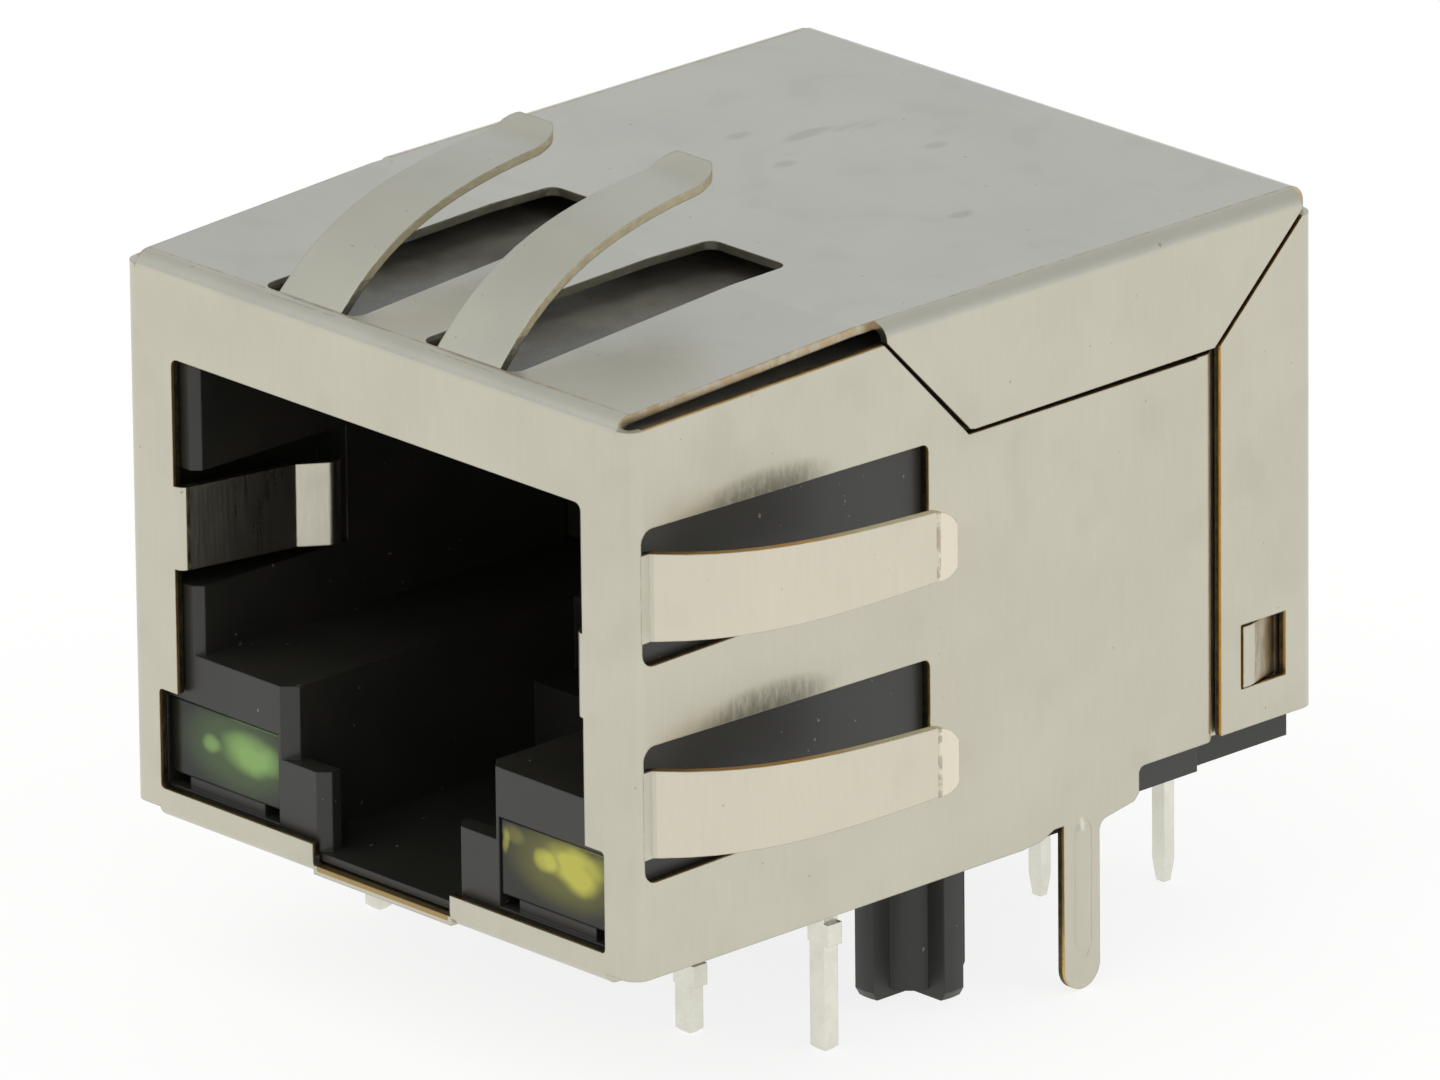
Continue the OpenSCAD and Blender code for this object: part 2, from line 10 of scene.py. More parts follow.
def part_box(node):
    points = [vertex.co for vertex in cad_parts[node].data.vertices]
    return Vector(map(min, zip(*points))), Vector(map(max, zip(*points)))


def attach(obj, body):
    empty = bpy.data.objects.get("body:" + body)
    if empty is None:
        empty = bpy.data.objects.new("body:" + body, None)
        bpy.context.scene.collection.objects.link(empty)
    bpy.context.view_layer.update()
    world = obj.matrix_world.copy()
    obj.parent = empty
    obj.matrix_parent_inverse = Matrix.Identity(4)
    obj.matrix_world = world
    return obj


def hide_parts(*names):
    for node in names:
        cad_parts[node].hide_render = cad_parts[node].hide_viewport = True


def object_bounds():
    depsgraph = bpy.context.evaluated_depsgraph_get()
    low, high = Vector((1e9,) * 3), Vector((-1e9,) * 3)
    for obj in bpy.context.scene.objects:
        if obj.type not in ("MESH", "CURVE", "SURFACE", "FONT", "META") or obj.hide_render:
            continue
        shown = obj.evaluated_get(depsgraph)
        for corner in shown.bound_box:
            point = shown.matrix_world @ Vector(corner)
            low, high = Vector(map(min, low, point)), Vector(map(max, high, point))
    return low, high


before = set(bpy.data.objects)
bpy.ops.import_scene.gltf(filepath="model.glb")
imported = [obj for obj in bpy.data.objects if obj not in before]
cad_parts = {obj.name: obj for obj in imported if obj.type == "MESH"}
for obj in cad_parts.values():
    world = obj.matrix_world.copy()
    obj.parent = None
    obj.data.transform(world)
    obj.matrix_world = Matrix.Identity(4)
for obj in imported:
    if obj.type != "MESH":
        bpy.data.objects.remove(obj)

CAD_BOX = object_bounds()
MM = 0.001

# ---------- the jack's driving places ----------
SHIELD_LO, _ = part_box("shield")
_, BODY_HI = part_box("housing")

# outer faces of the folded sheet; the side walls stand at x = WALL and x = -WALL
SHEET = 0.2 * MM
FRONT = SHIELD_LO.y
BACK = FRONT + 20.3 * MM
WALL = BODY_HI.x + 0.25 * MM
ROOF = 12.95 * MM
ROOF_BACK = 13.3 * MM

# how far a fold's round reaches from its corner, and a height above the whole bottom flap
FOLD = 0.41 * MM
FLAP_TOP = 0.5 * MM
# a little deeper than the sheet is thick
SKIN = SHEET * 1.1

# the step in the side walls, with the back wings' front edges just behind it
GROOVE = FRONT + 17.0 * MM
WING_EDGE = 0.4 * MM
# the crease near the tip of each side finger, and the stretch where the finger's edge turns paler
SIDE_TIP = FRONT + 7.04 * MM
CREASE_HALF = 0.04 * MM
PALER_EDGE = (FRONT + 3.2 * MM, FRONT + 5.6 * MM)
# the front edge under the latch channel: half its width, and the heights between which it is brown
LIP_HALF = 2.08 * MM
LIP_HEIGHT = (0.19 * MM, 0.45 * MM)
# the latch tab pushed out of each back wing
CATCH_Y = (FRONT + 18.0 * MM, FRONT + 19.4 * MM)
CATCH_Z = (2.3 * MM, 3.82 * MM)

# painted reflections of the side fingers on the walls just above their windows, and rubbed marks
# on the roof: middles and half sizes
FINGER_REFLECTION = ((FRONT + 3.9 * MM, 10.56 * MM), (FRONT + 3.9 * MM, 5.72 * MM))
FINGER_REFLECTION_HALF = (1.7 * MM, 0.42 * MM)
ROOF_STREAK = (-2.1 * MM, FRONT + 15.2 * MM)
STREAK_HALF = (0.9 * MM, 1.7 * MM)
ROOF_SPOTS = ((-3.3 * MM, FRONT + 13.8 * MM), (-1.2 * MM, FRONT + 13.2 * MM),
              (0.2 * MM, FRONT + 16.4 * MM), (3.9 * MM, FRONT + 13.6 * MM))
SPOT_HALF = (0.2 * MM, 0.34 * MM)
# the thin warm line where the roof starts to fold down
FOLD_LINE_HALF = 0.035 * MM
FOLD_LINE_DROP = 0.15 * MM

# how far below the roof the plastic's up-facing faces are painted pale, partly dust and partly
# painted light
DUST_AND_LIGHT_DEPTH = 1.6 * MM


# ---------- shader arithmetic ----------
class Level:
    """A socket that arithmetic works on: every operator adds its Math node."""

    def __init__(self, finish, socket):
        self.finish = finish
        self.socket = socket

    def math(self, operation, first, second=0.0):
        return self.finish.add("ShaderNodeMath", {0: first, 1: second}, operation=operation)

    def __add__(self, other):
        return self.math("ADD", self, other)

    __radd__ = __add__

    def __sub__(self, other):
        return self.math("SUBTRACT", self, other)

    def __rsub__(self, other):
        return self.math("SUBTRACT", other, self)

    def __mul__(self, other):
        return self.math("MULTIPLY", self, other)

    def __truediv__(self, other):
        return self.math("DIVIDE", self, other)

    def __pow__(self, other):
        return self.math("POWER", self, other)

    def __gt__(self, other):
        return self.math("GREATER_THAN", self, other)

    def __lt__(self, other):
        return self.math("LESS_THAN", self, other)

    def __abs__(self):
        return self.math("ABSOLUTE", self)

    def most(self, other):
        return self.math("MAXIMUM", self, other)

    def least(self, other):
        return self.math("MINIMUM", self, other)

    def sine(self):
        return self.math("SINE", self)

    def swing(self, size):
        """A 0 to 1 level as one that swings about 0, `size` from end to end."""
        return (self - 0.5) * size


# a colour Mix node's sockets: share, first colour, second colour; and its colour result
MIX_SHARE, MIX_FIRST, MIX_SECOND = 0, 6, 7
MIX_RESULT = 2
# how far past its half sizes a soft patch fades out, as the square of the distance
PATCH_REACH = 1.6
# rays that find the broken edges' normals
EDGE_SAMPLES = 4


class Finish:
    """The node tree of a material or of the world, with the few steps that they share."""

    def __init__(self, owner, output="ShaderNodeOutputMaterial"):
        self.owner = owner
        self.owner.use_nodes = True
        self.tree = owner.node_tree
        self.tree.nodes.clear()
        self.output = self.tree.nodes.new(output)

    def add(self, kind, sockets=None, out=0, **settings):
        """Adds a node: its settings first, then the values or links of its sockets."""
        node = self.tree.nodes.new(kind)
        for key, value in settings.items():
            setattr(node, key, value)
        for key, value in (sockets or {}).items():
            if isinstance(value, Level):
                self.tree.links.new(value.socket, node.inputs[key])
            else:
                node.inputs[key].default_value = value
        return Level(self, node.outputs[out])

    def split(self, vector):
        """A vector's x, y and z."""
        return [self.add("ShaderNodeSeparateXYZ", {0: vector}, axis) for axis in "XYZ"]

    def place(self):
        """Object coordinates as a vector and as x, y, z."""
        spot = self.add("ShaderNodeTexCoord", out="Object")
        return spot, self.split(spot)

    def facing(self):
        """The surface's own normal as x, y, z."""
        return self.split(self.add("ShaderNodeNewGeometry", out="True Normal"))

    def noise(self, spot, size, detail=3.0, roughness=0.55, stretch=(1, 1, 1), shift=(0, 0, 0)):
        """Noise from 0 to 1 whose grains are about `size` metres, drawn out by `stretch`."""
        moved = self.add("ShaderNodeVectorMath", {0: spot, 1: shift}, operation="ADD")
        drawn = self.add("ShaderNodeVectorMath", {0: moved, 1: stretch}, operation="DIVIDE")
        return self.add("ShaderNodeTexNoise", {"Vector": drawn, "Scale": 1 / size,
                                               "Detail": detail, "Roughness": roughness})

    def step(self, value, low, high):
        """0 below low, 1 above high, eased between."""
        return self.add("ShaderNodeMapRange", {"Value": value, "From Min": low, "From Max": high},
                        interpolation_type="SMOOTHSTEP")

    def mix(self, share, first, second):
        """A colour between two colours."""
        first, second = (c if isinstance(c, Level) else (*c, 1.0) for c in (first, second))
        return self.add("ShaderNodeMix", {MIX_SHARE: share, MIX_FIRST: first, MIX_SECOND: second},
                        MIX_RESULT, data_type="RGBA")

    def tint(self, colour, amount):
        """The colour made darker or lighter by a level that is 1 where nothing changes."""
        grey = self.add("ShaderNodeCombineXYZ", {0: amount, 1: amount, 2: amount})
        return self.add("ShaderNodeMix", {MIX_SHARE: 1.0, MIX_FIRST: colour, MIX_SECOND: grey},
                        MIX_RESULT, data_type="RGBA", blend_type="MULTIPLY")

    def soft_patch(self, across, up, middle, half):
        """A round soft patch: 1 in its middle, fading to 0 past its half sizes."""
        reach = ((across - middle[0]) / half[0]) ** 2.0 + ((up - middle[1]) / half[1]) ** 2.0
        return 1.0 - self.step(reach, 0.0, PATCH_REACH)

    def broken_edge(self, radius):
        """A normal that turns gently over every sharp edge, as a real edge does."""
        return self.add("ShaderNodeBevel", {"Radius": radius}, samples=EDGE_SAMPLES)

    def near_edge(self, turned):
        """Grows from 0 on flat faces towards 1 on a sharp edge, from broken_edge's normal."""
        flat = self.add("ShaderNodeNewGeometry", out="Normal")
        return 1.0 - self.add("ShaderNodeVectorMath", {0: turned, 1: flat}, "Value",
                              operation="DOT_PRODUCT")

    def bump(self, height, distance, strength=1.0, before=None):
        """A normal tilted by a height, on top of an earlier normal if there is one."""
        sockets = {"Height": height, "Distance": distance, "Strength": strength}
        if before is not None:
            sockets["Normal"] = before
        return self.add("ShaderNodeBump", sockets)

    def end(self, shader):
        """Ends the tree with a shader."""
        self.tree.links.new(shader.socket, self.output.inputs["Surface"])
        return self.owner

    def close(self, **surface):
        """Ends the tree with one Principled shader whose sockets are named by the keywords."""
        names = {key.replace("_", " ").title().replace("Ior", "IOR"): value
                 for key, value in surface.items()}
        return self.end(self.add("ShaderNodeBsdfPrincipled", names))


def new_finish(name):
    return Finish(bpy.data.materials.new(name))


def inside(value, low, high):
    """1 where a level lies between two limits, 0 elsewhere."""
    return (value > low) * (value < high)


def srgb(red, green, blue):
    """A display colour, 0 to 255, as the linear colour that the shaders take."""
    return tuple((c / 255 / 12.92 if c < 10 else ((c / 255 + 0.055) / 1.055) ** 2.4)
                 for c in (red, green, blue))


# ---------- the folded sheet ----------
# cut edges' colours: sheared smooth, torn light, torn dark
EDGE_COLOURS = {
    "mouth": (srgb(172, 146, 100), srgb(104, 92, 70), srgb(74, 66, 50)),
    "walls": (srgb(218, 182, 112), srgb(104, 90, 64), srgb(74, 64, 46)),
    "slots": (srgb(150, 146, 128), srgb(126, 123, 108), srgb(82, 80, 68)),
    "roof_fingers": (srgb(190, 180, 152), srgb(178, 166, 136), srgb(112, 99, 72)),
    "side_fingers": (srgb(222, 178, 108), srgb(214, 166, 94), srgb(176, 118, 50)),
    "lip": (srgb(170, 146, 100), srgb(162, 138, 94), srgb(112, 93, 60)),
    "wings": (srgb(246, 222, 176), srgb(238, 208, 156), srgb(206, 172, 118)),
}

# the plated faces, and what lies on them; finger and finger_tip are painted highlights on the side
# fingers, catch is painted shade on the latch tabs
NICKEL = {
    "plain": (srgb(196, 192, 176), srgb(201, 197, 180)),
    "catch": (srgb(150, 138, 118), srgb(184, 174, 152)),
    "finger": srgb(221, 214, 193),
    "finger_tip": srgb(226, 218, 198),
    "finger_crease": srgb(120, 108, 86),
    "paler_edge": srgb(228, 222, 190),
    "fold_line": srgb(178, 150, 104),
    "speck": srgb(110, 100, 82),
    "rim": srgb(128, 104, 66),
}

# a normal's share of an axis: below LITTLE the face looks away from it, above MUCH along it
LITTLE = 0.4
MUCH = 0.6


def cut_edges(x, y, z, facing):
    """Shares, 0 or 1, of the folded sheet's narrow cut edges by place, and each edge's depth
    below the outer face as a share of the sheet's thickness."""
    nx, ny, nz = (abs(n) for n in facing)
    side = abs(x)
    between_folds = side < WALL - FOLD
    past_fold = inside(y, FRONT + FOLD * 1.05, BACK - FOLD * 1.05)
    edges = {
        "mouth": (y < FRONT + SKIN) * (ny < LITTLE) * between_folds * (z > FLAP_TOP),
        "walls": (side > WALL - SKIN) * (nx < LITTLE) * past_fold * (z < ROOF_BACK - FOLD),
        "slots": (z > ROOF - SHEET * 2) * (nz < LITTLE) * between_folds * past_fold,
        "roof_fingers": (z > ROOF_BACK + SHEET) * (nx > MUCH),
        "side_fingers": (side > WALL + SHEET * 0.6) * (nz > MUCH),
        "lip": (side < LIP_HALF) * inside(z, *LIP_HEIGHT) * (y < FRONT + SKIN),
        "wings": (side > WALL - SHEET) * (ny > MUCH) * inside(y, GROOVE, GROOVE + WING_EDGE),
    }
    depth = (edges["mouth"] * (y - FRONT) + edges["walls"] * (WALL - side)
             + edges["slots"] * (ROOF - z)) / SHEET
    return edges, depth


def roof_marks(finish, spot, x, y, z, bare):
    """The rubbed streak and the four small spots on the roof."""
    rubbed = finish.soft_patch(x, y, ROOF_STREAK, STREAK_HALF)
    drawn = finish.noise(spot, 0.5 * MM, 2.0, 0.5, stretch=(1, 5, 1))
    mark = finish.step(drawn, 0.5, 0.66) * rubbed
    for middle in ROOF_SPOTS:
        mark = finish.soft_patch(x, y, middle, SPOT_HALF) * (bare + 0.4) + mark
    return mark.least(1.0) * (z > ROOF - SHEET)


def painted_finger_reflection(finish, y, z, side, streak):
    """The side fingers' dark reflection, painted streaky on the side walls just above their
    windows.
    """
    mark = 0.0
    for middle in FINGER_REFLECTION:
        mark = finish.soft_patch(y, z, middle, FINGER_REFLECTION_HALF) + mark
    return mark * inside(side, WALL - SHEET * 0.5, WALL + SHEET * 0.5) * (streak * 0.7 + 0.3)


def nickel_face(finish, y, z, side, cloud, bare, streak):
    """The plated faces: plain, painted lighter on the side fingers and their tips as a painted
    highlight, and painted darker on the latch tabs as painted shade in their windows.
    """
    face = finish.mix(finish.step(cloud, 0.3, 0.7), *NICKEL["plain"])
    lifted = (side > WALL + SHEET * 0.3) * (z > FLAP_TOP) * (y < GROOVE)
    crease = lifted * (abs(y - SIDE_TIP) < CREASE_HALF) * finish.step(bare, 0.42, 0.55)
    # the side fingers and their bent tips are painted lighter: a painted highlight of their bent
    # faces
    face = finish.mix(lifted * 0.5, face, NICKEL["finger"])
    face = finish.mix(lifted * (y > SIDE_TIP), face, NICKEL["finger_tip"])
    face = finish.mix(crease * 0.5, face, NICKEL["finger_crease"])
    # the latch tab, sunk in its wing's window, is painted darker: painted shade
    catch = inside(y, *CATCH_Y) * inside(z, *CATCH_Z) * (side < WALL - 0.01 * MM)
    return finish.mix(catch * 0.85, face, finish.mix(streak, *NICKEL["catch"]))


def plated_sheet():
    """Thin nickel-plated sheet, satin, with brown sheared edges and a faint rolled grain."""
    finish = new_finish("plated_sheet")
    spot, (x, y, z) = finish.place()
    side = abs(x)
    facing = finish.facing()
    edges, depth = cut_edges(x, y, z, facing)

    # the rolled grain runs up the walls and is all but gone on faces that look up
    cloud = finish.noise(spot, 3.2 * MM, 3.0)
    upright = 1.0 - (facing[2] > 0.5) * 0.8
    rolled = finish.noise(spot, 0.09 * MM, 3.0, 0.6, stretch=(1, 1, 14))
    grain = (rolled - 0.5) * upright + 0.5
    bare = finish.noise(spot, 0.3 * MM, 3.0, 0.6)
    patchy = finish.step(bare, 0.35, 0.65)
    speck = finish.noise(spot, 0.2 * MM, 1.0, 0.5, shift=(0.3, 0.1, 0))
    stain = finish.noise(spot, 1.4 * MM, 1.0, 0.4, shift=(0.7, 0.2, 0.1))
    stain = finish.step(stain, 0.55, 0.75)
    streak = finish.noise(spot, 0.2 * MM, 3.0, 0.7, stretch=(1, 1, 3))
    streak = finish.step(streak, 0.32, 0.6)
    mark = roof_marks(finish, spot, x, y, z, bare)
    painted_reflection = painted_finger_reflection(finish, y, z, side, streak)

    face = nickel_face(finish, y, z, side, cloud, bare, streak)
    # the last term darkens the walls above the side windows with the painted reflection of the
    # side fingers
    shade = 1.0 + grain.swing(0.08) - stain * 0.03 - mark * 0.12 - painted_reflection * 0.42
    face = finish.tint(face, shade)
    fold_line = ((abs(side - WALL + FOLD) < FOLD_LINE_HALF)
                 .most(abs(y - FRONT - FOLD) < FOLD_LINE_HALF))
    fold_line = fold_line * (z > ROOF - FOLD_LINE_DROP) * (side < WALL - SHEET)
    face = finish.mix(fold_line * (patchy * 0.5 + 0.2), face, NICKEL["fold_line"])
    colour = finish.mix(finish.step(speck, 0.785, 0.81) * 0.4, face, NICKEL["speck"])

    # cut edges: sheared smooth at the outer face, torn below it
    sheared = 1.0 - finish.step(depth, 0.25, 0.5)
    cut = 0.0
    for where, share in edges.items():
        smooth, light, dark = EDGE_COLOURS[where]
        torn = finish.mix(patchy, light, dark)
        colour = finish.mix(share, colour, finish.mix(sheared, torn, smooth))
        cut = share.most(cut)
    paler = edges["side_fingers"] * finish.step(y, *PALER_EDGE)
    colour = finish.mix(paler * 0.8, colour, NICKEL["paler_edge"])
    rounded = finish.broken_edge(0.04 * MM)
    rim = finish.step(finish.near_edge(rounded), 0.02, 0.16) * finish.step(bare, 0.3, 0.6)
    colour = finish.mix(rim * 0.4, colour, NICKEL["rim"])

    gloss = (0.3 + cloud.swing(0.1) + grain.swing(0.08)
             + stain * 0.04 + cut * 0.14 + mark * 0.08)
    relief = finish.bump(grain, 0.007 * MM, 0.6, rounded)
    relief = finish.bump(finish.noise(spot, 0.6 * MM, 2.0), 0.01 * MM, 0.6, relief)
    relief = finish.bump(bare * cut, 0.05 * MM, 0.6, relief)
    return finish.close(base_color=colour, metallic=1.0, roughness=gloss, normal=relief)


# ---------- the other finishes ----------
def black_plastic():
    """Moulded black plastic with a fine spark-eroded texture and a lighter grey on its outer
    sides; its up-facing faces just below the roof are painted pale, partly dust and partly painted
    light.
    """
    finish = new_finish("black_plastic")
    spot, (x, _, z) = finish.place()
    cloud = finish.noise(spot, 2.0 * MM, 3.0)
    pebble = finish.noise(spot, 0.06 * MM, 3.0, 0.6)
    dust = finish.noise(spot, 0.14 * MM, 1.0, 0.4, shift=(0.05, 0.4, 0))
    dust = finish.step(dust, 0.775, 0.8)
    # up-facing faces near the roof: dust, and painted light that lifts the shade they lie in under
    # the slots
    dust_and_painted_light = (finish.facing()[2] > 0.5) * (z > ROOF - DUST_AND_LIGHT_DEPTH)
    dust_and_painted_light = dust_and_painted_light * (finish.step(cloud, 0.2, 0.8) * 0.7 + 0.3)
    outer = (abs(x) > BODY_HI.x - 0.02 * MM) * (z > FLAP_TOP)
    dust_and_light_film = finish.mix(pebble, srgb(152, 150, 139), srgb(104, 100, 86))
    colour = finish.mix(finish.step(cloud, 0.3, 0.7), srgb(37, 37, 33), srgb(43, 42, 37))
    colour = finish.mix(outer * 0.7, colour, srgb(52, 52, 50))
    colour = finish.mix(dust_and_painted_light, colour, dust_and_light_film)
    colour = finish.mix(dust * 0.6, colour, srgb(150, 146, 138))
    gloss = 0.36 + cloud.swing(0.12) + pebble.swing(0.1)
    relief = finish.bump(pebble, 0.004 * MM, 0.5, finish.broken_edge(0.05 * MM))
    return finish.close(base_color=colour, roughness=gloss, ior=1.52, normal=relief)


def gold_wire():
    """Gold flash on drawn spring wire, with fine lines along the drawing direction."""
    finish = new_finish("gold_wire")
    spot, _ = finish.place()
    drawn = finish.noise(spot, 0.04 * MM, 2.0, 0.5, stretch=(1, 20, 20))
    cloud = finish.noise(spot, 1.2 * MM, 2.0)
    colour = finish.mix(cloud, srgb(205, 166, 86), srgb(226, 190, 110))
    colour = finish.tint(colour, 1.0 + drawn.swing(0.16))
    return finish.close(base_color=colour, metallic=1.0, roughness=0.22 + drawn * 0.12,
                        normal=finish.bump(drawn, 0.003 * MM, 0.5))


def tinned_wire():
    """Dull tin on the pins and lamp leads, slightly clouded."""
    finish = new_finish("tinned_wire")
    spot, _ = finish.place()
    cloud = finish.noise(spot, 0.5 * MM, 4.0, 0.6)
    fine = finish.noise(spot, 0.07 * MM, 2.0)
    colour = finish.mix(finish.step(cloud, 0.3, 0.7), srgb(222, 221, 208), srgb(232, 231, 218))
    colour = finish.tint(colour, 1.0 + fine.swing(0.12))
    return finish.close(base_color=colour, metallic=1.0,
                        roughness=0.36 + cloud.swing(0.16) + fine.swing(0.08),
                        normal=finish.bump(fine, 0.006 * MM, 0.6, finish.broken_edge(0.03 * MM)))


# painted glow of each lens where its cup shows through, as shares of the lens: middle (across,
# up), half sizes, power
GREEN_GLOW = [((0.37, 0.55), (0.085, 0.12), 0.6), ((0.73, 0.59), (0.24, 0.27), 0.6),
             ((0.62, 0.68), (0.14, 0.15), 0.12), ((0.94, 0.6), (0.13, 0.2), 0.2),
             ((0.75, 0.5), (0.13, 0.17), 0.25), ((0.64, 0.56), (0.5, 0.55), 0.22)]
YELLOW_GLOW = [((0.38, 0.65), (0.1, 0.15), 0.65), ((0.7, 0.65), (0.19, 0.29), 0.6),
              ((0.71, 0.53), (0.12, 0.18), 0.3), ((0.54, 0.66), (0.15, 0.18), 0.4),
              ((0.6, 0.84), (0.2, 0.14), 0.3), ((0.97, 0.64), (0.05, 0.3), 0.5),
              ((0.04, 0.72), (0.03, 0.16), 0.45), ((0.1, 0.85), (0.1, 0.12), 0.2),
              ((0.88, 0.8), (0.1, 0.16), 0.25), ((0.58, 0.62), (0.48, 0.5), 0.22)]


def lamp_lens(name, node, dim, bright, patches):
    """Clear tinted lens: dark over the lead frame, with painted glow where its cup shows through
    and a painted highlight along its top edge.
    """
    finish = new_finish(name)
    spot, (x, _, z) = finish.place()
    low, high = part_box(node)
    wobble = finish.noise(spot, 0.9 * MM, 2.0).swing(0.08)
    across = (x - low.x) / (high.x - low.x) + wobble
    up = (z - low.z) / (high.z - low.z) - wobble
    glow = 0.0
    for middle, half, power in patches:
        glow = finish.soft_patch(across, up, middle, half) * power + glow
    # a painted highlight along the lens's top edge
    painted_top_highlight = finish.step(up + wobble, 0.965, 0.985) * finish.step(across, 0.45, 0.6) * 0.35
    haze = finish.noise(spot, 1.6 * MM, 3.0)
    colour = finish.mix(finish.step(haze, 0.3, 0.75) * 0.5, dim, srgb(24, 24, 21))
    colour = finish.mix(glow.most(painted_top_highlight).least(1.0), colour, bright)
    return finish.close(base_color=colour, roughness=0.2 + haze.swing(0.14), ior=1.44,
                        normal=finish.bump(haze, 0.008 * MM, 0.3, finish.broken_edge(0.06 * MM)))


def circuit_board():
    """Solder mask over copper, with pale glass weave showing through faintly."""
    finish = new_finish("circuit_board")
    spot, (x, y, _) = finish.place()
    turns = 2 * math.pi / (0.42 * MM)
    weave = (x * turns).sine() * (y * turns).sine()
    cloud = finish.noise(spot, 1.5 * MM, 3.0)
    colour = finish.mix(cloud, srgb(28, 84, 50), srgb(40, 102, 62))
    colour = finish.tint(colour, 1.0 + weave * 0.06)
    return finish.close(base_color=colour, roughness=0.34 + cloud.swing(0.1),
                        normal=finish.bump(weave, 0.004 * MM, 0.4))


def ferrite():
    """Dark sintered ferrite with a fine open grain."""
    finish = new_finish("ferrite")
    spot, _ = finish.place()
    grain = finish.noise(spot, 0.08 * MM, 4.0, 0.65)
    colour = finish.mix(grain, srgb(40, 38, 38), srgb(66, 62, 60))
    return finish.close(base_color=colour, roughness=0.55 + grain.swing(0.2), metallic=0.2,
                        normal=finish.bump(grain, 0.01 * MM, 0.8))


def copper_wire():
    """Enamelled copper: clear varnish over a warm metal, slightly uneven."""
    finish = new_finish("copper_wire")
    spot, _ = finish.place()
    uneven = finish.noise(spot, 0.3 * MM, 2.0)
    colour = finish.mix(uneven, srgb(150, 72, 34), srgb(186, 98, 50))
    return finish.close(base_color=colour, metallic=0.9, roughness=0.26 + uneven * 0.14,
                        coat_weight=0.5, normal=finish.bump(uneven, 0.006 * MM, 0.4))


def chip_finish(name, dark, light, roughness):
    """A chip part's body: pressed ceramic or film, slightly clouded."""
    finish = new_finish(name)
    spot, _ = finish.place()
    cloud = finish.noise(spot, 0.2 * MM, 3.0, 0.6)
    colour = finish.mix(cloud, dark, light)
    return finish.close(base_color=colour, roughness=roughness + cloud.swing(0.15),
                        normal=finish.bump(cloud, 0.005 * MM, 0.5))


FINISHES = {
    "plated_sheet": plated_sheet(),
    "black_plastic": black_plastic(),
    "gold_wire": gold_wire(),
    "tinned_wire": tinned_wire(),
    "green_lens": lamp_lens("green_lens", "lamp_green",
                            srgb(20, 26, 20), srgb(134, 173, 95), GREEN_GLOW),
    "yellow_lens": lamp_lens("yellow_lens", "lamp_yellow",
                             srgb(30, 31, 19), srgb(194, 191, 76), YELLOW_GLOW),
    "circuit_board": circuit_board(),
    "ferrite": ferrite(),
    "copper_wire": copper_wire(),
    "chip_black": chip_finish("chip_black", srgb(34, 34, 36), srgb(48, 48, 50), 0.3),
    "chip_tan": chip_finish("chip_tan", srgb(160, 126, 92), srgb(178, 144, 108), 0.45),
}

NODE_FINISH = {
    "shield": "plated_sheet",
    "housing": "black_plastic",
    "contact_carrier": "black_plastic",
    "contact": "gold_wire",
    "lamp_green": "green_lens",
    "lamp_yellow": "yellow_lens",
    "lamp_green_lead": "tinned_wire",
    "lamp_yellow_lead": "tinned_wire",
    "inner_board": "circuit_board",
    "terminal_base": "black_plastic",
    "signal_pin": "tinned_wire",
    "core": "ferrite",
    "winding": "copper_wire",
    "resistor": "chip_black",
    "capacitor": "chip_tan",
}


def slot_key(node):
    """The longest entry of NODE_FINISH that a node's name starts with."""
    return max((k for k in NODE_FINISH if node.startswith(k)), key=len)


for name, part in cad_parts.items():
    part.data.materials.clear()
    part.data.materials.append(FINISHES[NODE_FINISH[slot_key(name)]])


# ---------- curved pieces ----------
CURVED = ("shield", "housing", "contact_", "lamp_green_lead", "lamp_yellow_lead",
          "core_", "winding_")
# corners of the triangles that are this near are one corner
SAME_CORNER = 0.0005 * MM
# faces that turn less than this from each other are shaded as one round
SOFT_TURN = math.cos(math.radians(28))
CRISP_TURN = math.cos(math.radians(4))


def on_tip_crease(point):
    """Whether a point lies on the crease near the tip of a side finger."""
    return abs(point.y - SIDE_TIP) < 0.1 * MM and abs(point.x) > WALL + SHEET


def rounded_normals(mesh):
    """Each corner's normal: the mean, by area, of the faces around it that turn little
    from its own face."""
    around = [[] for _ in mesh.vertices]
    for face in mesh.polygons:
        for vertex in face.vertices:
            around[vertex].append((face.normal.copy(), face.area))
    normals = []
    for face in mesh.polygons:
        for vertex in face.vertices:
            limit = CRISP_TURN if on_tip_crease(mesh.vertices[vertex].co) else SOFT_TURN
            near = [turn * area for turn, area in around[vertex] if turn.dot(face.normal) > limit]
            normals.append(sum(near, Vector()).normalized() if near else face.normal.copy())
    return normals


def smooth_copy(node):
    """A piece that stands for a node: its triangles joined, its folds and rounds shaded smooth."""
    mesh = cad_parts[node].data.copy()
    mesh.name = node + "_smooth"
    joined = bmesh.new()
    joined.from_mesh(mesh)
    bmesh.ops.remove_doubles(joined, verts=joined.verts, dist=SAME_CORNER)
    joined.to_mesh(mesh)
    joined.free()
    mesh.shade_smooth()
    mesh.normals_split_custom_set(rounded_normals(mesh))
    piece = bpy.data.objects.new(node + "_smooth", mesh)
    bpy.context.scene.collection.objects.link(piece)
    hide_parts(node)
    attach(piece, "root")


for name in sorted(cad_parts):
    if name.startswith(CURVED):
        smooth_copy(name)


# ---------- floor, world and lamps ----------
FLOOR_HALF = 1.5
FLOOR_GLOW = 1.06
# share of the floor's own glow in what the camera and mirror-like faces see of it
FLOOR_GLOW_SHARE = 0.8

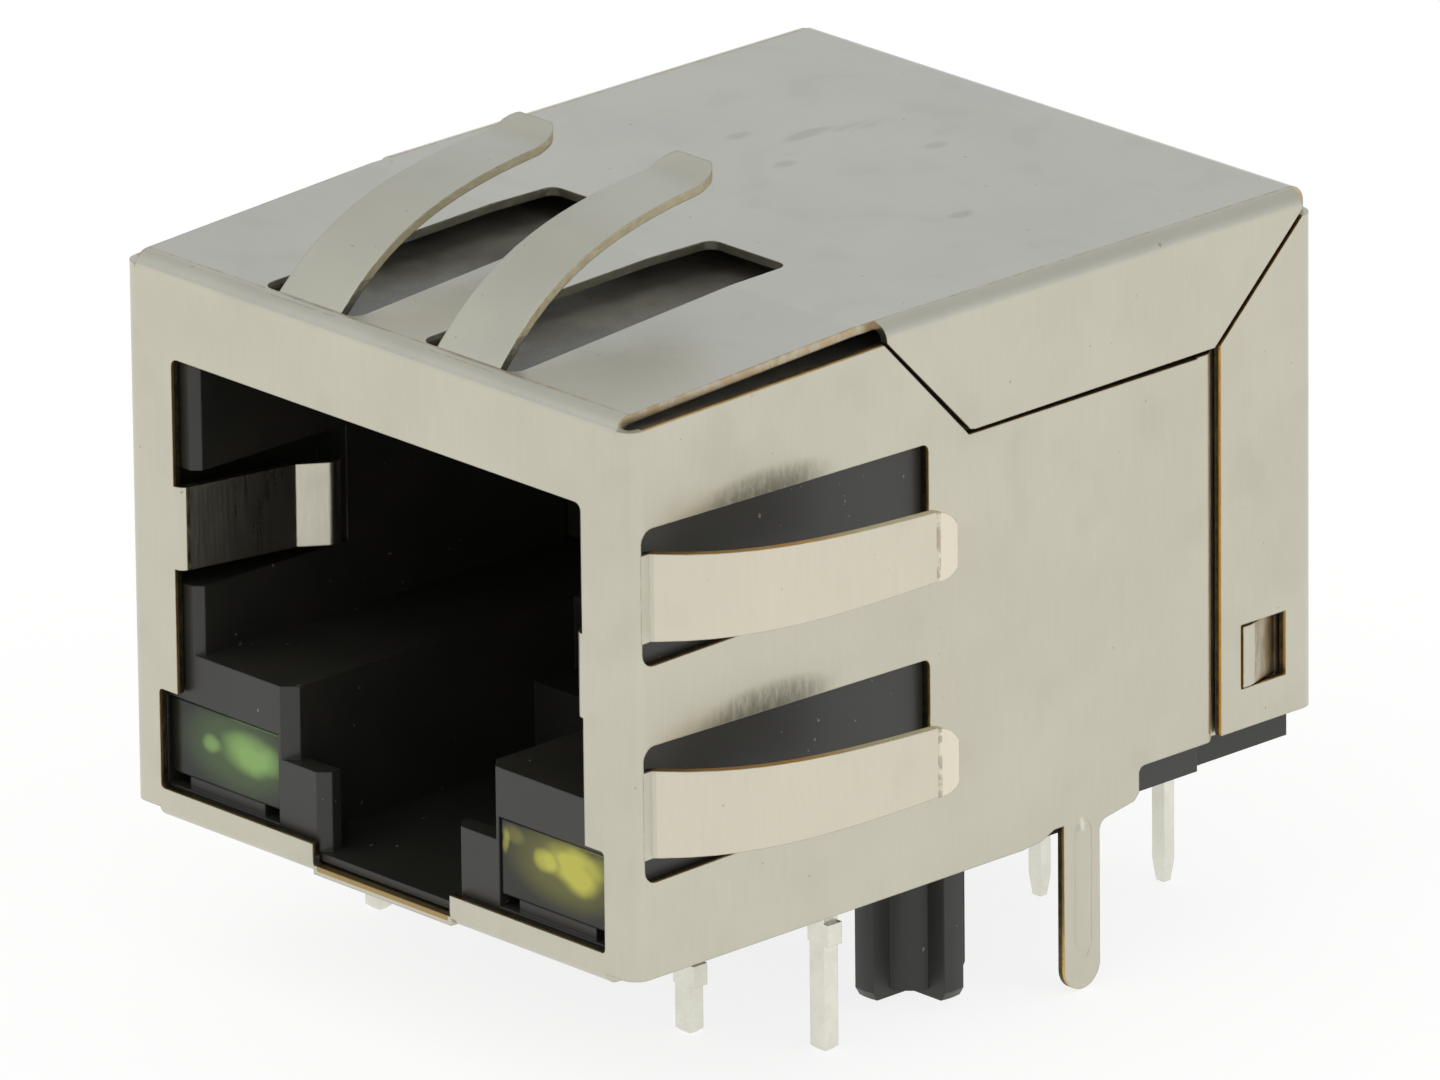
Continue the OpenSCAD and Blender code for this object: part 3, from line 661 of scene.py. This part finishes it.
# the room as mirror-like faces see it, by the upward part of the direction
BAND_RISE = (0.02, 0.3)
TOP_RISE = (0.42, 0.62)
ROOM_LOW = (1.0, 1.0, 1.0)
ROOM_BAND = (0.69, 0.735, 0.81)
ROOM_TOP = (0.645, 0.675, 0.70)
# and as matt faces are lit by it
ROOM_LIGHT = (0.8, 0.8, 0.81)


def seen_directly(finish):
    """1 for camera, glossy and transmission rays."""
    camera, glossy, passing = (finish.add("ShaderNodeLightPath", out=kind) for kind in
                               ("Is Camera Ray", "Is Glossy Ray", "Is Transmission Ray"))
    return camera.most(glossy).most(passing)


def studio_floor():
    """Pale floor that reads white and keeps the jack's soft shadow."""
    finish = new_finish("studio_floor")
    spot, _ = finish.place()
    paper = finish.mix(finish.noise(spot, 2.0 * MM, 2.0), (0.84, 0.83, 0.81), (0.86, 0.85, 0.83))
    matt = finish.add("ShaderNodeBsdfDiffuse", {"Color": paper})
    white = finish.add("ShaderNodeEmission", {"Color": (1, 1, 1, 1), "Strength": FLOOR_GLOW})
    share = seen_directly(finish) * FLOOR_GLOW_SHARE
    finish.end(finish.add("ShaderNodeMixShader", {0: share, 1: matt, 2: white}))
    mesh = bpy.data.meshes.new("studio_floor")
    level = CAD_BOX[0].z
    corners = [(x * FLOOR_HALF, y * FLOOR_HALF, level)
               for x, y in ((-1, -1), (1, -1), (1, 1), (-1, 1))]
    mesh.from_pydata(corners, [], [(0, 1, 2, 3)])
    mesh.materials.append(finish.owner)
    floor = bpy.data.objects.new("studio_floor", mesh)
    bpy.context.scene.collection.objects.link(floor)


def studio_world():
    """White room below the horizon, a cooler and dimmer band above it, for mirror-like faces."""
    world = bpy.data.worlds.new("studio_world")
    bpy.context.scene.world = world
    finish = Finish(world, "ShaderNodeOutputWorld")
    way = finish.add("ShaderNodeTexCoord", out="Generated")
    _, _, rise = finish.split(way)
    seen = finish.mix(finish.step(rise, *BAND_RISE), ROOM_LOW, ROOM_BAND)
    seen = finish.mix(finish.step(rise, *TOP_RISE), seen, ROOM_TOP)
    colour = finish.mix(seen_directly(finish), ROOM_LIGHT, seen)
    finish.end(finish.add("ShaderNodeBackground", {"Color": colour, "Strength": 1.0}))


def softbox(name, place, size, power):
    """A square lamp that looks at the middle of the jack."""
    lamp = bpy.data.lights.new(name, "AREA")
    lamp.shape = "SQUARE"
    lamp.size = size
    lamp.energy = power
    holder = bpy.data.objects.new(name, lamp)
    away = Vector(place) - (CAD_BOX[0] + CAD_BOX[1]) / 2
    turn = away.to_track_quat("Z", "Y").to_matrix().to_4x4()
    holder.matrix_world = Matrix.Translation(place) @ turn
    bpy.context.scene.collection.objects.link(holder)


studio_floor()
studio_world()
softbox("key_lamp", (-0.1, -0.35, 0.5), size=0.6, power=0.7)
softbox("side_lamp", (0.6, 0.1, 0.3), size=0.5, power=0.5)


# ---------- camera ----------
CAMERA_PLACE = (0.310356, -0.289738, 0.159960)
CAMERA_AZIMUTH = math.radians(46.983)
CAMERA_ELEVATION = math.radians(19.966)
CAMERA_LEAN = math.radians(-0.6088)
CAMERA_LENS = 521.26
CAMERA_SENSOR = 36


def place_camera():
    """Long lens from the front right, a little above, with a small lean."""
    flat = math.cos(CAMERA_ELEVATION)
    right = Vector((math.cos(CAMERA_AZIMUTH), math.sin(CAMERA_AZIMUTH), 0))
    ahead = Vector((-math.sin(CAMERA_AZIMUTH) * flat, math.cos(CAMERA_AZIMUTH) * flat,
                    -math.sin(CAMERA_ELEVATION)))
    up = right.cross(ahead)
    lean_cos, lean_sin = math.cos(CAMERA_LEAN), math.sin(CAMERA_LEAN)
    right, up = right * lean_cos + up * lean_sin, up * lean_cos - right * lean_sin
    data = bpy.data.cameras.new("camera")
    data.sensor_width = CAMERA_SENSOR
    data.lens = CAMERA_LENS
    data.clip_start = 0.01
    data.clip_end = 10
    camera = bpy.data.objects.new("camera", data)
    turn = Matrix((right, up, -ahead)).transposed().to_4x4()
    camera.matrix_world = Matrix.Translation(CAMERA_PLACE) @ turn
    bpy.context.scene.collection.objects.link(camera)
    bpy.context.scene.camera = camera


place_camera()
bpy.context.scene.view_settings.view_transform = "Standard"
